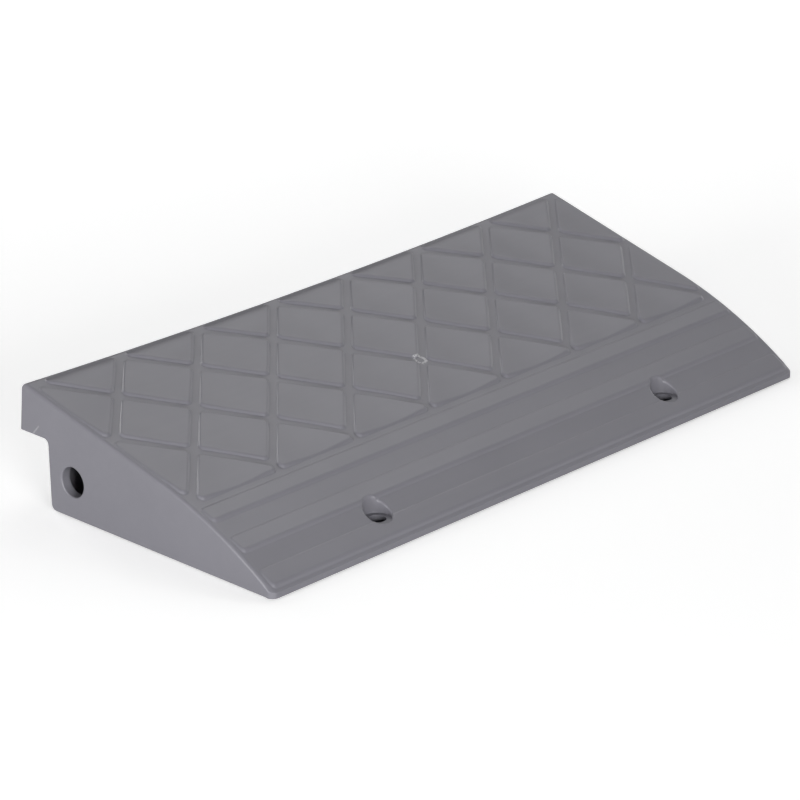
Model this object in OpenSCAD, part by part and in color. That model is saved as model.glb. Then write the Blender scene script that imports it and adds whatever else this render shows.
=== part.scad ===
/* [Overall] */
// Length along the kerb
length = 600; // [450:10:900]
// Depth from the toe to the outer foot of the lip
depth = 270; // [250:1:330]
// Height of the moulding from its bottom edge to the back edge of the deck
body_h = 96.5; // [88:0.5:120]

/* [Deck] */
// Slope of the flat part of the deck, in degrees
deck_angle = 14.2; // [12:0.1:15]
// Radius of the curve that brings the deck down to the toe
front_r = 380; // [320:5:440]
// Distance from the toe to the line where the curve meets the flat part
crest_y = 120; // [110:1:130]
// Wall of the deck
deck_wall = 3.5; // [3:0.1:5]
// Rounding of the two front corners, seen from above
front_corner_r = 6; // [2:0.5:10]

/* [Rear wall and lip] */
// Reach of the lip beyond the top of the rear wall
lip_reach = 30.5; // [24:0.5:40]
// Height of the lip's underside above the bottom edge
lip_under = 56.5; // [45:0.5:62]
// How far the lip's outer face leans in from its foot to its top
lip_draft = 3; // [0:0.1:5]
// How far the rear wall leans in from the lip's underside to the bottom edge
rear_draft = 2; // [0:0.1:5]
// Wall of the lip's outer flange
lip_wall = 3; // [2.5:0.1:4]
// Wall of the rear face
rear_wall = 3.5; // [3:0.1:5]
// Wall of the two ends
end_wall = 3.5; // [3:0.1:5]
// Rounding of the lip's top edge
lip_top_r = 3; // [1:0.5:5]
// Rounding where the lip meets the rear wall
lip_root_r = 3; // [1:0.5:4]
// Rounding of the rear wall's foot
heel_r = 5; // [2:0.5:8]

/* [Diamond pads] */
// Number of diamonds along the ramp
pad_columns = 7; // [5:1:11]
// Number of diamonds from front to back
pad_rows = 2; // [1:1:2]
// Distance from each end to the middles of the outermost diamonds
lattice_end = 10; // [8:0.5:20]
// Distance from the toe to the middles of the front line of diamonds
lattice_front = 92.5; // [90:0.5:100]
// Distance from the toe to the middles of the back line of diamonds
lattice_back = 258; // [245:0.5:258]
// Distance from each end to the edge of the field, which cuts the outer diamonds
pad_end_gap = 4; // [4:0.5:6]
// Distance from the toe to the front edge of the field
pad_front = 85; // [83:0.5:88]
// Distance from the toe to the back edge of the field
pad_back = 261.5; // [260:0.5:263]
// Width of the grooves between the pads
groove_w = 6.5; // [5:0.5:9]
// Rounding of the pads' corners, seen from above
pad_corner_r = 3.5; // [1:0.5:5]
// Height of a pad at its back tip
pad_back_rise = 0.5; // [0.3:0.1:1]
// Height of a pad from its middle to its front tip
pad_rise = 2.4; // [1.5:0.1:4]

/* [Grip ridges] */
// Number of long ridges on the front curve
ridge_count = 3; // [1:1:3]
// Distance from the toe to the back of the last ridge
ridge_back = 79.5; // [78:0.5:81]
// Distance from one ridge to the next
ridge_pitch = 30.5; // [29:0.5:31]
// Width of a ridge
ridge_w = 15.5; // [10:0.5:17]
// Height of a ridge at its back
ridge_back_rise = 0.5; // [0.3:0.1:1]
// Height of a ridge at its front
ridge_front_rise = 2.4; // [1.5:0.1:4]
// Rounding of a ridge's front edge
ridge_edge_r = 2; // [0.5:0.1:2.5]
// Distance from each end of the ramp to the ridges
ridge_end_gap = 4.5; // [4:0.5:20]

/* [Ribs underneath] */
// Number of bays along the ramp, an even number keeps a rib in the middle
bay_columns = 12; // [8:2:18]
// Number of bays from front to back
bay_rows = 5; // [4:1:7]
// Thickness of the ribs
rib_t = 2.5; // [2:0.1:4]
// Length of the solid toe in front of the bays
toe_solid = 10; // [8:0.5:16]

/* [Ground screws] */
// Distance between the two screw holes
screw_spacing = 330; // [200:5:400]
// Distance from the toe to the screw holes
screw_y = 25; // [23:0.5:30]
// Diameter of the recess for the screw's head
screw_head_d = 22; // [16:0.5:26]
// Diameter of the hole for the screw
screw_hole_d = 14; // [8:0.5:15]
// Height of the seat that the screw's head clamps, above the bottom edge
screw_seat_z = 14; // [10:0.5:15]
// Thickness of the floor under that seat
screw_floor = 4; // [3:0.5:6]
// Wall of the boss round the recess
screw_boss_wall = 3.5; // [2.5:0.1:5]

/* [Link holes in the ends] */
// Diameter of the link hole
link_d = 24; // [16:0.5:28]
// Distance from the toe to the link hole
link_y = 213; // [208:0.5:214]
// Height of the link hole above the bottom edge
link_z = 29.5; // [24:0.5:34]
// Length of the collar round the link hole, with the end wall
link_len = 8; // [6:0.5:20]
// Wall of the collar
link_wall = 3.5; // [2.5:0.1:4]

/* [Rubber feet] */
// Diameter of a foot's head
foot_d = 22; // [16:0.5:26]
// Thickness of a foot's head
foot_head_h = 4; // [3:0.5:6]
// How far a foot stands out below the moulding
foot_stand = 1; // [0.5:0.1:2]
// Diameter of a foot's stem
foot_stem_d = 9; // [6:0.5:12]
// Length of a foot's stem
foot_stem_len = 9; // [6:0.5:12]
// Bevel round the stem's tip
foot_bevel = 1.5; // [0.5:0.1:2.5]
// Gap all round a foot in its socket
foot_gap = 0.1; // [0.05:0.05:0.3]
// Wall of the socket round a foot
socket_wall = 3; // [2:0.1:5]
// Number of ring grooves that let the foot grip
grip_grooves = 2; // [1:1:2]
// Width of the grooves that let the foot grip
grip_groove_w = 1.5; // [1:0.1:2]
// Depth of the grooves that let the foot grip
grip_groove_h = 1; // [0.5:0.1:1.5]

/* [Hidden] */

// Overshoot of a cut past the face it opens
cut = 2;
// How deep a raised form reaches into the wall that carries it
root_depth = 1.5;
// A round crosses the sides it joins by this much, so that the two meet in a clean edge
graze = 0.01;
// The front curve meets the flat part of the deck at this hint of an angle, for the same reason
meet_angle = 0.3;
// Sides of every round, and of the deck's large curve
$fn = 96;
curve_fn = 360;

// Heights on the deck, measured in a section with the toe's foot at zero
lip_top_y = depth - lip_draft;
crest_z = body_h - (lip_top_y - crest_y) * tan(deck_angle);
curve_y = crest_y + front_r * sin(deck_angle + meet_angle);
curve_z = crest_z - front_r * cos(deck_angle + meet_angle);
lip_root_y = depth - lip_reach;
heel_y = lip_root_y - rear_draft;
lean = rear_draft / lip_under;

// Bays between the ribs
bay_x = (length - 2 * end_wall - (bay_columns - 1) * rib_t) / bay_columns;
bay_back = heel_y - rear_wall;
bay_y = (bay_back - toe_solid - (bay_rows - 1) * rib_t) / bay_rows;

// The lattice that the diamonds' middles lie on
lattice_left = -length / 2 + lattice_end;
half_x = -lattice_left / pad_columns;
half_y = (lattice_back - lattice_front) / pad_rows / 2;

// Rubber feet sit where the outer ribs cross
foot_depth = foot_head_h - foot_stand;
socket_h = foot_depth + foot_stem_len + foot_gap + socket_wall;

function unit(v) = v / norm(v);

// Height of the deck's surface at a distance from the toe
function deck_z(y) = y < crest_y
    ? curve_z + sqrt(pow(front_r, 2) - pow(curve_y - y, 2))
    : crest_z + (y - crest_y) * tan(deck_angle);

// Middle of the rib after the given bay, along the ramp and from front to back
function rib_x(i) = -length / 2 + end_wall + i * (bay_x + rib_t) - rib_t / 2;
function rib_y(j) = toe_solid + j * (bay_y + rib_t) - rib_t / 2;

// The block that a section is drawn in: x along the ramp, y from the toe, z from the ground
module place() {
    translate([0, -depth / 2, foot_stand]) children();
}

// A section drawn in y and z, run along the ramp
module along(len) {
    rotate([90, 0, 90]) linear_extrude(len, center = true) children();
}

// The piece that a round of radius r takes off the corner p between its neighbours a and b
module corner_piece(p, a, b, r) {
    u = unit(a - p);
    v = unit(b - p);
    m = unit(u + v);
    half = acos(u * v) / 2;
    reach = r - graze;
    c = p + m * reach / sin(half);
    ta = p + u * reach / tan(half);
    tb = p + v * reach / tan(half);
    difference() {
        polygon([c, ta + unit(ta - c), p - m, tb + unit(tb - c)]);
        translate(c) circle(r);
    }
}

// An outline with every corner rounded
module rounded(outline, r) {
    c = len(outline);
    difference() {
        polygon(outline);
        for (i = [0 : c - 1])
            corner_piece(outline[i], outline[(i + c - 1) % c], outline[(i + 1) % c], r);
    }
}

// Everything below a surface that lies the given depth under the deck
module under_deck(drop) {
    y0 = crest_y + drop * sin(deck_angle);
    z0 = crest_z - drop * cos(deck_angle);
    slope = tan(deck_angle);
    far = depth + cut;
    split = curve_y - (front_r * cos(meet_angle) - drop) * sin(deck_angle);
    intersection() {
        polygon([
            [-cut, -cut], [far, -cut],
            [far, z0 + (far - y0) * slope], [-cut, z0 - (y0 + cut) * slope]
        ]);
        union() {
            translate([curve_y, curve_z]) circle(front_r - drop, $fn = curve_fn);
            translate([split, -cut]) square([far - split, body_h + 2 * cut]);
        }
    }
}

// Section through an end wall, with the overhanging lip at the back
module outer_section() {
    toe = [0, 0];
    heel = [heel_y, 0];
    root = [lip_root_y, lip_under];
    lip_foot = [depth, lip_under];
    lip_top = [lip_top_y, body_h];
    difference() {
        intersection() {
            under_deck(0);
            polygon([toe, [depth, 0], lip_foot, lip_top, [0, body_h]]);
        }
        difference() {
            polygon([
                [heel_y - cut * lean, -cut], [depth + cut, -cut],
                [depth + cut, lip_under], root
            ]);
            corner_piece(root, heel, lip_foot, lip_root_r);
        }
        corner_piece(heel, toe, root, heel_r);
        corner_piece(lip_top, lip_foot, [crest_y, crest_z], lip_top_r);
    }
}

// Section of the space in front of the rear wall
module main_bays_section() {
    intersection() {
        under_deck(deck_wall);
        polygon([
            [toe_solid, -cut], [bay_back - cut * lean, -cut],
            [bay_back + body_h * lean, body_h], [toe_solid, body_h]
        ]);
    }
}

// Section of the channel between the rear wall and the lip's flange
module lip_bays_section() {
    low = lip_under - lip_root_r - cut;
    flange_lean = lip_draft / (body_h - lip_under);
    flange_y = depth - lip_wall;
    intersection() {
        under_deck(deck_wall);
        polygon([
            [heel_y + low * lean, low], [flange_y + (lip_under - low) * flange_lean, low],
            [flange_y - lip_draft, body_h], [heel_y + body_h * lean, body_h]
        ]);
    }
}

// Plan of the bays: one row of rectangles of width w that starts at y
module bay_row(y, w) {
    for (i = [0 : bay_columns - 1])
        translate([rib_x(i) + rib_t / 2, y]) square([bay_x, w]);
}

module bays() {
    intersection() {
        along(length) main_bays_section();
        translate([0, 0, -cut]) linear_extrude(body_h + cut)
            for (j = [0 : bay_rows - 1])
                bay_row(rib_y(j) + rib_t / 2, bay_y + (j == bay_rows - 1 ? rear_draft + cut : 0));
    }
    intersection() {
        along(length) lip_bays_section();
        linear_extrude(body_h) bay_row(heel_y, depth - heel_y);
    }
}

// Plan of the whole moulding, with its front corners rounded
module plan() {
    half = length / 2;
    toe_left = [-half, 0];
    toe_right = [half, 0];
    difference() {
        translate(toe_left) square([length, depth]);
        corner_piece(toe_left, toe_right, [-half, depth], front_corner_r);
        corner_piece(toe_right, toe_left, [half, depth], front_corner_r);
    }
}

// Half a diamond whose cut side lies the given length past its middle; it points right at
// turn 0 and back at turn 90, a is its half diagonal along that way and b across it
module half_pad(centre, a, b, past, turn) {
    tip = a - groove_w / 2 * norm([a, b]) / b;
    half_side = (tip + past) * b / a;
    translate(centre) rotate(turn)
        rounded([[-past, -half_side], [tip, 0], [-past, half_side]], pad_corner_r);
}

module full_pad(centre) {
    share = 1 - groove_w / 2 * norm([half_x, half_y]) / (half_x * half_y);
    a = half_x * share;
    b = half_y * share;
    translate(centre) rounded([[0, -b], [a, 0], [0, b], [-a, 0]], pad_corner_r);
}

// Plan of the pads whose middles lie on one line across the diamond field
module pad_line(j) {
    y = lattice_back - j * half_y;
    if (j % 2 == 0)
        for (k = [0 : pad_columns - 1]) {
            c = [lattice_left + (2 * k + 1) * half_x, y];
            if (j == 0) half_pad(c, half_y, half_x, pad_back - lattice_back, -90);
            else if (j == 2 * pad_rows)
                half_pad(c, half_y, half_x, lattice_front - pad_front, 90);
            else full_pad(c);
        }
    else {
        half_pad([lattice_left, y], half_x, half_y, lattice_end - pad_end_gap, 0);
        half_pad([-lattice_left, y], half_x, half_y, lattice_end - pad_end_gap, 180);
        for (k = [1 : pad_columns - 1]) full_pad([lattice_left + 2 * k * half_x, y]);
    }
}

// Pads are almost flush at the back tip, rise to their middle and stay proud to the front tip
module pads() {
    for (j = [0 : 2 * pad_rows]) {
        middle = lattice_back - j * half_y;
        back = middle + half_y;
        front = max(middle - half_y, pad_front - cut);
        intersection() {
            along(length) polygon([
                [front, deck_z(front) - root_depth], [back, deck_z(back) - root_depth],
                [back, deck_z(back) + pad_back_rise], [middle, deck_z(middle) + pad_rise],
                [front, deck_z(front) + pad_rise]
            ]);
            linear_extrude(2 * body_h) pad_line(j);
        }
    }
}

module ridges() {
    for (i = [0 : ridge_count - 1]) {
        y1 = ridge_back - i * ridge_pitch;
        y0 = y1 - ridge_w;
        foot = [y0, deck_z(y0) - root_depth];
        edge = [y0, deck_z(y0) + ridge_front_rise];
        back = [y1, deck_z(y1) + ridge_back_rise];
        along(length - 2 * ridge_end_gap) difference() {
            polygon([foot, [y1, deck_z(y1) - root_depth], back, edge]);
            corner_piece(edge, foot, back, ridge_edge_r);
        }
    }
}

module at_screws() {
    for (side = [-1, 1])
        translate([side * screw_spacing / 2, screw_y, 0]) children();
}

module at_links() {
    for (side = [-1, 1])
        translate([side * length / 2, link_y, link_z]) rotate([0, -side * 90, 0]) children();
}

module at_foot(i, j) {
    translate([rib_x(i), rib_y(j), 0]) children();
}

module at_feet() {
    for (i = [1, bay_columns / 2, bay_columns - 1], j = [1, bay_rows - 1])
        at_foot(i, j) children();
}

// Bosses under the deck for the ground screws
module screw_bosses() {
    intersection() {
        along(length) under_deck(0);
        at_screws() cylinder(body_h, d = screw_head_d + 2 * screw_boss_wall);
    }
}

module ramp_body() {
    color("#7b7b80") place() difference() {
        union() {
            difference() {
                intersection() {
                    along(length) outer_section();
                    translate([0, 0, -cut]) linear_extrude(body_h + 2 * cut) plan();
                }
                bays();
            }
            pads();
            ridges();
            screw_bosses();
            at_links() cylinder(link_len, d = link_d + 2 * link_wall);
            at_feet() cylinder(socket_h, d = foot_d + 2 * (foot_gap + socket_wall));
        }
        at_screws() translate([0, 0, -cut]) cylinder(body_h, d = screw_hole_d);
        at_screws() translate([0, 0, screw_seat_z]) cylinder(body_h, d = screw_head_d);
        at_screws() translate([0, 0, -cut])
            cylinder(screw_seat_z - screw_floor + cut, d = screw_head_d);
        at_links() translate([0, 0, -cut]) cylinder(link_len + 2 * cut, d = link_d);
        at_feet() translate([0, 0, -cut])
            cylinder(foot_depth + cut, d = foot_d + 2 * foot_gap);
        at_feet() cylinder(socket_h - socket_wall, d = foot_stem_d + 2 * foot_gap);
    }
}

// A push-in rubber foot: a head with ring grooves under a stem with a bevelled tip
module rubber_foot(i, j) {
    r = foot_d / 2;
    stem_r = foot_stem_d / 2;
    top = foot_head_h + foot_stem_len;
    color("#2b2b2d") place() at_foot(i, j) translate([0, 0, -foot_stand]) difference() {
        rotate_extrude() polygon([
            [0, 0], [r, 0], [r, foot_head_h], [stem_r, foot_head_h],
            [stem_r, top - foot_bevel], [stem_r - foot_bevel, top], [0, top]
        ]);
        for (k = [1 : grip_grooves]) grip_groove(k * r / (grip_grooves + 1));
    }
}

// A ring groove cut into the underside of a foot, at radius r
module grip_groove(r) {
    translate([0, 0, -cut]) difference() {
        cylinder(grip_groove_h + cut, r = r + grip_groove_w / 2);
        translate([0, 0, -cut]) cylinder(grip_groove_h + 3 * cut, r = r - grip_groove_w / 2);
    }
}

module foot_front_left() rubber_foot(1, 1);
module foot_front_centre() rubber_foot(bay_columns / 2, 1);
module foot_front_right() rubber_foot(bay_columns - 1, 1);
module foot_rear_left() rubber_foot(1, bay_rows - 1);
module foot_rear_centre() rubber_foot(bay_columns / 2, bay_rows - 1);
module foot_rear_right() rubber_foot(bay_columns - 1, bay_rows - 1);

ramp_body();
foot_front_left();
foot_front_centre();
foot_front_right();
foot_rear_left();
foot_rear_centre();
foot_rear_right();
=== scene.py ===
# %% [markdown]
# # A moulded plastic kerb ramp
# The real ramp is one injection moulding of grey polypropylene, 60 cm long. A car's wheel climbs a
# curved front with three long ridges, then a sloping deck covered in raised diamonds, and the lip
# at the back reaches over to the kerb. Underneath, the moulding is open and stiffened by a lattice
# of ribs. This notebook builds that moulding again with soft edges and a moulded finish, inside
# the frame that the CAD model gives, and then lights it as for a photograph.

import math

import bpy
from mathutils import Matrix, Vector


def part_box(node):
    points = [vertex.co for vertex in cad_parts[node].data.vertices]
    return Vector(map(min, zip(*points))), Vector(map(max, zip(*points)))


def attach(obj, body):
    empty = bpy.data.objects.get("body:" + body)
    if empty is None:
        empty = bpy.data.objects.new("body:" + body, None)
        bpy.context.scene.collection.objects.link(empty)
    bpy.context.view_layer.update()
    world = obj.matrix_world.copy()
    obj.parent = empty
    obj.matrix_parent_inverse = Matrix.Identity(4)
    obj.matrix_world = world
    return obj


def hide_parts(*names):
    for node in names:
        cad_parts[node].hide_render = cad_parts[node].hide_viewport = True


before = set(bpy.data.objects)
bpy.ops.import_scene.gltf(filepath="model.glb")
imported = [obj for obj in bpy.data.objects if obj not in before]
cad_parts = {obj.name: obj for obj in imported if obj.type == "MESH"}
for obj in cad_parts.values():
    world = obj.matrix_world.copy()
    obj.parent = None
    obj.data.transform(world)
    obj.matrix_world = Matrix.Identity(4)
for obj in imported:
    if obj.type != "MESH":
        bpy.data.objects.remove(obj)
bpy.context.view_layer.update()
body_low, body_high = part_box("ramp_body")
MM = 0.001

# %% [markdown]
# ## Sizes
# A moulding is drawn in sections, so the sizes below use the toolmaker's axes, in millimetres: x
# runs along the kerb from the middle of the ramp, y runs back from the toe, and z runs up from the
# moulding's bottom edge. The length, the depth and the place come from the frame. The rest repeats
# the part's driving dimensions, but the lip's top edge and its root are rounder here, as they are
# in the photograph.

# %% Driving sizes, in millimetres
LENGTH = (body_high.x - body_low.x) / MM
DEPTH = (body_high.y - body_low.y) / MM
TOE_Y = body_low.y / MM
BASE_Z = body_low.z / MM

BODY_H = 96.5
DECK_ANGLE = math.radians(14.2)
MEET_ANGLE = math.radians(0.3)
FRONT_R = 380
CREST_Y = 120
DECK_WALL = 3.5
LIP_REACH = 30.5
LIP_UNDER = 56.5
LIP_DRAFT = 3
LIP_WALL = 3
LIP_TOP_R = 4.5
LIP_ROOT_R = 4.5
REAR_DRAFT = 2
REAR_WALL = 3.5
HEEL_R = 5
END_WALL = 3.5

HALF_LENGTH = LENGTH / 2
LIP_TOP_Y = DEPTH - LIP_DRAFT
LIP_ROOT_Y = DEPTH - LIP_REACH
HEEL_Y = LIP_ROOT_Y - REAR_DRAFT
LEAN = REAR_DRAFT / LIP_UNDER
CREST_Z = BODY_H - (LIP_TOP_Y - CREST_Y) * math.tan(DECK_ANGLE)
CURVE_Y = CREST_Y + FRONT_R * math.sin(DECK_ANGLE + MEET_ANGLE)
CURVE_Z = CREST_Z - FRONT_R * math.cos(DECK_ANGLE + MEET_ANGLE)


def deck_z(y, drop=0):
    """Height of the deck, or of a surface that lies drop under it, at y."""
    edge_y = CREST_Y + drop * math.sin(DECK_ANGLE)
    if y > edge_y:
        edge_z = CREST_Z - drop * math.cos(DECK_ANGLE)
        return edge_z + (y - edge_y) * math.tan(DECK_ANGLE)
    return CURVE_Z + math.sqrt((FRONT_R - drop) ** 2 - (CURVE_Y - y) ** 2)


print("The deck climbs from", round(deck_z(0), 1), "to", round(deck_z(LIP_TOP_Y), 1), "mm")

# %% [markdown]
# ## Making a closed mesh
# Every form below starts as rings of points joined by quads, because rings keep the faces even
# along a curve and close into a solid that booleans can cut. One helper turns toolmaker's points
# into a mesh in the frame's metres.


# %% Mesh helpers
def mesh_object(name, points, faces):
    """A new object from points in the toolmaker's millimetres and faces as lists of indices."""
    mesh = bpy.data.meshes.new(name)
    placed = [(x * MM, (y + TOE_Y) * MM, (z + BASE_Z) * MM) for x, y, z in points]
    mesh.from_pydata(placed, [], faces)
    mesh.validate()
    obj = bpy.data.objects.new(name, mesh)
    bpy.context.scene.collection.objects.link(obj)
    return obj


def skin(rings):
    """Quads that join rings of equal length, each closed on itself."""
    count = len(rings[0])
    faces = []
    for lower, upper in zip(rings, rings[1:]):
        for k in range(count):
            after = (k + 1) % count
            faces.append([lower[k], lower[after], upper[after], upper[k]])
    return faces


def solid_from_rings(name, rings, tip=None):
    """A closed solid from rings of points, anticlockwise from above, with a cap or a tip on top."""
    count = len(rings[0])
    points = [point for ring in rings for point in ring]
    index = [list(range(i * count, (i + 1) * count)) for i in range(len(rings))]
    faces = skin(index)
    faces.append(index[0][::-1])
    if tip is None:
        faces.append(index[-1])
    else:
        points.append(tip)
        last = index[-1]
        faces += [[last[k], last[(k + 1) % count], len(points) - 1] for k in range(count)]
    return mesh_object(name, points, faces)


def prism(name, outline, width):
    """A solid of a (y, z) outline, anticlockwise from the right, that is width long along x."""
    left = [(-width / 2, y, z) for y, z in outline]
    right = [(width / 2, y, z) for y, z in outline]
    count = len(outline)
    faces = skin([list(range(count)), list(range(count, 2 * count))])
    faces += [list(range(count))[::-1], list(range(count, 2 * count))]
    return mesh_object(name, left + right, faces)


def join(name, objects):
    """One object that holds the meshes of several."""
    points, faces = [], []
    for obj in objects:
        start = len(points)
        points += [tuple(v.co) for v in obj.data.vertices]
        faces += [[start + i for i in f.vertices] for f in obj.data.polygons]
        bpy.data.objects.remove(obj)
    mesh = bpy.data.meshes.new(name)
    mesh.from_pydata(points, [], faces)
    joined = bpy.data.objects.new(name, mesh)
    bpy.context.scene.collection.objects.link(joined)
    return joined


# %% [markdown]
# ## Nodes
# Geometry Nodes and materials are both trees of nodes. One small function adds a node, sets what
# is fixed on it and either links or fills its inputs, so that each tree below reads as a recipe. A
# node that is given as an input stands for its first output.


# %% One function for every node
def add(tree, kind, inputs=None, **settings):
    """Adds a node. Each input, by name or number, is given a socket, a node or a plain value."""
    node = tree.nodes.new(kind)
    for name, value in settings.items():
        setattr(node, name, value)
    for key, value in (inputs or {}).items():
        if isinstance(value, bpy.types.Node):
            value = value.outputs[0]
        if isinstance(value, bpy.types.NodeSocket):
            tree.links.new(value, node.inputs[key])
        else:
            node.inputs[key].default_value = value
    return node


def plain_mesh(obj):
    """Applies what obj's modifiers make of it, removes them and returns obj."""
    depsgraph = bpy.context.evaluated_depsgraph_get()
    made = bpy.data.meshes.new_from_object(obj.evaluated_get(depsgraph))
    obj.modifiers.clear()
    obj.data = made
    return obj


# %% [markdown]
# ## A row along the ramp
# Nearly everything on this moulding repeats along its length: diamonds, rib bays, screw bosses and
# foot sockets. So one Geometry Nodes tree lays copies of any piece on a line that is centred on
# the ramp. Instances are light, but they have to be realised before a boolean or an export can use
# them. The tree could dress the copies too, but they get their finish later, with the whole
# moulding, so that input stays empty.


# %% The tree that repeats a piece
def row_tree():
    """The node tree that lays copies of a piece on a line along the ramp."""
    tree = bpy.data.node_groups.new("row_along_the_ramp", "GeometryNodeTree")
    face = tree.interface
    face.new_socket(name="Piece", in_out="INPUT", socket_type="NodeSocketObject")
    face.new_socket(name="Copies", in_out="INPUT", socket_type="NodeSocketInt")
    face.new_socket(name="Pitch", in_out="INPUT", socket_type="NodeSocketFloat")
    face.new_socket(name="Material", in_out="INPUT", socket_type="NodeSocketMaterial")
    face.new_socket(name="Geometry", in_out="OUTPUT", socket_type="NodeSocketGeometry")
    given = add(tree, "NodeGroupInput").outputs
    gaps = add(tree, "ShaderNodeMath", {0: given["Copies"], 1: 1.0}, operation="SUBTRACT")
    span = add(tree, "ShaderNodeMath", {0: gaps, 1: given["Pitch"]}, operation="MULTIPLY")
    left = add(tree, "ShaderNodeMath", {0: span, 1: -0.5}, operation="MULTIPLY")
    first = add(tree, "ShaderNodeCombineXYZ", {"X": left})
    step = add(tree, "ShaderNodeCombineXYZ", {"X": given["Pitch"]})
    places = {"Count": given["Copies"], "Start Location": first, "Offset": step}
    line = add(tree, "GeometryNodeMeshLine", places)
    piece = add(tree, "GeometryNodeObjectInfo", {"Object": given["Piece"]}).outputs["Geometry"]
    copies = add(tree, "GeometryNodeInstanceOnPoints", {"Points": line, "Instance": piece})
    real = add(tree, "GeometryNodeRealizeInstances", {0: copies})
    finish = {"Geometry": real, "Material": given["Material"]}
    add(tree, "NodeGroupOutput", {"Geometry": add(tree, "GeometryNodeSetMaterial", finish)})
    return tree


ROW = row_tree()


def row(name, piece, copies, pitch):
    """Copies of piece, pitch millimetres apart, as one plain mesh that takes its place."""
    mesh = bpy.data.meshes.new(name)
    obj = bpy.data.objects.new(name, mesh)
    bpy.context.scene.collection.objects.link(obj)
    modifier = obj.modifiers.new("row", "NODES")
    modifier.node_group = ROW
    values = {"Piece": piece, "Copies": copies, "Pitch": pitch * MM}
    for socket in ROW.interface.items_tree:
        if socket.name in values:
            modifier[socket.identifier] = values[socket.name]
    bpy.context.view_layer.update()
    plain_mesh(obj)
    bpy.data.objects.remove(piece)
    print(name, "has", copies, "copies and", len(obj.data.polygons), "faces")
    return obj


# %% [markdown]
# ## Joining and cutting
# The real thing is one skin of plastic, so the pieces are fused and the hollows cut away with
# booleans. Every mesh here is closed, which lets the fast Manifold solver do it.


# %% Booleans
def combine(target, operation, *tools):
    """Unites target with the tools, or cuts them out of it. The tools are used up."""
    for tool in tools:
        modifier = target.modifiers.new(operation.lower(), "BOOLEAN")
        modifier.operation = operation
        modifier.solver = "MANIFOLD"
        modifier.object = tool
    bpy.context.view_layer.update()
    plain_mesh(target)
    for tool in tools:
        bpy.data.objects.remove(tool)
    return target


# %% [markdown]
# ## The shell
# The outside is one section run along the kerb, so it is lofted: the same outline repeated at
# stations along x. At the two ends the outline draws in along a quarter circle, which rounds the
# deck's end edges as the tool does, and the two front corners draw in further, as seen from above.
# The radius of that rounding changes round the outline, so each point carries its own.

# %% Sizes of the shell's roundings, in millimetres
DECK_END_R = 3
WALL_END_R = 0.8
FRONT_CORNER_R = 6
TOE_EDGE_R = 0.8
TOE_ARC_R = 0.64
LIP_FOOT_R = 0.8
TOE_BLEND = 9

# %% How finely it is drawn: steps on its curves, and gaps on its flats in millimetres
END_STEPS = 8
HEEL_STEPS = 6
ROOT_STEPS = 5
FOOT_STEPS = 3
TOP_STEPS = 7
TOE_STEPS = 3
FRONT_STEPS = 40
STATION_GAP = 20
BASE_GAP = 40
REAR_GAP = 12
UNDER_GAP = 10
DECK_GAP = 8
LEAST_COSINE = 0.5


# %% The outline
def fillet(before, corner, after, radius, steps):
    """Points of the arc that rounds a corner of a (y, z) outline."""
    before, corner, after = Vector(before), Vector(corner), Vector(after)
    u = (before - corner).normalized()
    v = (after - corner).normalized()
    half = u.angle(v) / 2
    centre = corner + (u + v).normalized() * radius / math.sin(half)
    start = (corner + u * radius / math.tan(half) - centre).normalized()
    end = (corner + v * radius / math.tan(half) - centre).normalized()
    return [centre + start.slerp(end, k / steps) * radius for k in range(steps + 1)]


def stretch(a, b, gap):
    """Points between a and b, without the two ends, about gap apart."""
    a, b = Vector(a), Vector(b)
    steps = max(1, round((b - a).length / gap))
    return [a.lerp(b, k / steps) for k in range(1, steps)]


def shell_outline():
    """The outer section, anticlockwise from the right, as (y, z) points with their end radius."""
    toe = (0, 0)
    heel = (HEEL_Y, 0)
    root = (LIP_ROOT_Y, LIP_UNDER)
    lip_foot = (DEPTH, LIP_UNDER)
    lip_top = (LIP_TOP_Y, BODY_H)
    crest = (CREST_Y, CREST_Z)
    toe_top = (0, deck_z(0))
    heel_arc = fillet(toe, heel, root, HEEL_R, HEEL_STEPS)
    root_arc = fillet(heel, root, lip_foot, LIP_ROOT_R, ROOT_STEPS)
    foot_arc = fillet(root, lip_foot, lip_top, LIP_FOOT_R, FOOT_STEPS)
    top_arc = fillet(lip_foot, lip_top, crest, LIP_TOP_R, TOP_STEPS)
    toe_arc = fillet((TOE_EDGE_R, deck_z(TOE_EDGE_R)), toe_top, toe, TOE_ARC_R, TOE_STEPS)
    walls = [Vector(toe), Vector((TOE_BLEND, 0))]
    walls += stretch((TOE_BLEND, 0), heel_arc[0], BASE_GAP)
    walls += [*heel_arc, *stretch(heel_arc[-1], root_arc[0], REAR_GAP), *root_arc]
    walls += [*stretch(root_arc[-1], foot_arc[0], UNDER_GAP), *foot_arc]
    walls += stretch(foot_arc[-1], top_arc[0], DECK_GAP)
    top = [*stretch(top_arc[-1], crest, DECK_GAP), Vector(crest)]
    for k in range(1, FRONT_STEPS):
        y = CREST_Y * (1 - k / FRONT_STEPS)
        top.append(Vector((y, deck_z(y))))
    rows = [(p, WALL_END_R) for p in walls]
    for k, p in enumerate(top_arc):
        rows.append((p, WALL_END_R + (DECK_END_R - WALL_END_R) * k / (len(top_arc) - 1)))
    rows += [(p, DECK_END_R) for p in top]
    rows += [(p, FRONT_CORNER_R) for p in toe_arc]
    return rows


# %% The loft
def inward(outline, k):
    """The way into the section at point k, longer at a corner so that both sides move alike."""
    count = len(outline)
    before = (outline[k] - outline[k - 1]).normalized()
    after = (outline[(k + 1) % count] - outline[k]).normalized()
    along = (before + after).normalized()
    return Vector((-along.y, along.x)) / max(LEAST_COSINE, along.dot(after))


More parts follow.
